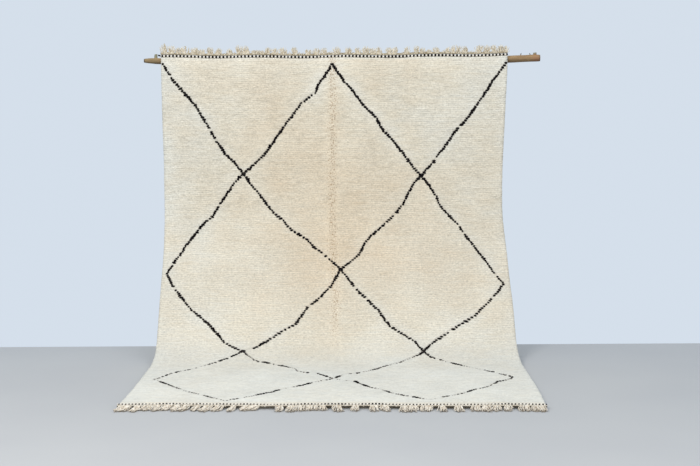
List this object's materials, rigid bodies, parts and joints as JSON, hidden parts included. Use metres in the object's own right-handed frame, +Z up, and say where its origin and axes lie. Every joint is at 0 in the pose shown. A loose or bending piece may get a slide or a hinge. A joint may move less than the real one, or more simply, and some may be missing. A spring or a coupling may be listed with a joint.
{
  "type": "pile rug hung from a wooden pole",
  "caption": "Cream hand-knotted wool rug with dark lozenge lines and tufted ends, hung from a rough pole, falling down a wall and lying out on the floor.",
  "frame": {"origin": "floor level, under the middle of the whole part's box", "axes": "+Z up, +X along the pole to the right as seen from the pile side, the wall side at +Y, the pile facing -Y and, on the floor, +Z"},
  "size_m": [2.294, 1.7144, 1.7674],
  "materials": {
    "pile_wool": "cream undyed wool pile with dark brown-black knotted lines",
    "twined_wool": "black and white two-ply twined cord",
    "fringe_wool": "beige unspun warp ends",
    "pole_wood": "barked natural branch, unvarnished"
  },
  "bodies": {
    "root": {"rug": "pile_wool", "top_cord": "twined_wool", "bottom_cord": "twined_wool", "top_fringe": "fringe_wool", "bottom_fringe": "fringe_wool", "pole": "pole_wood"}
  },
  "joints": []
}
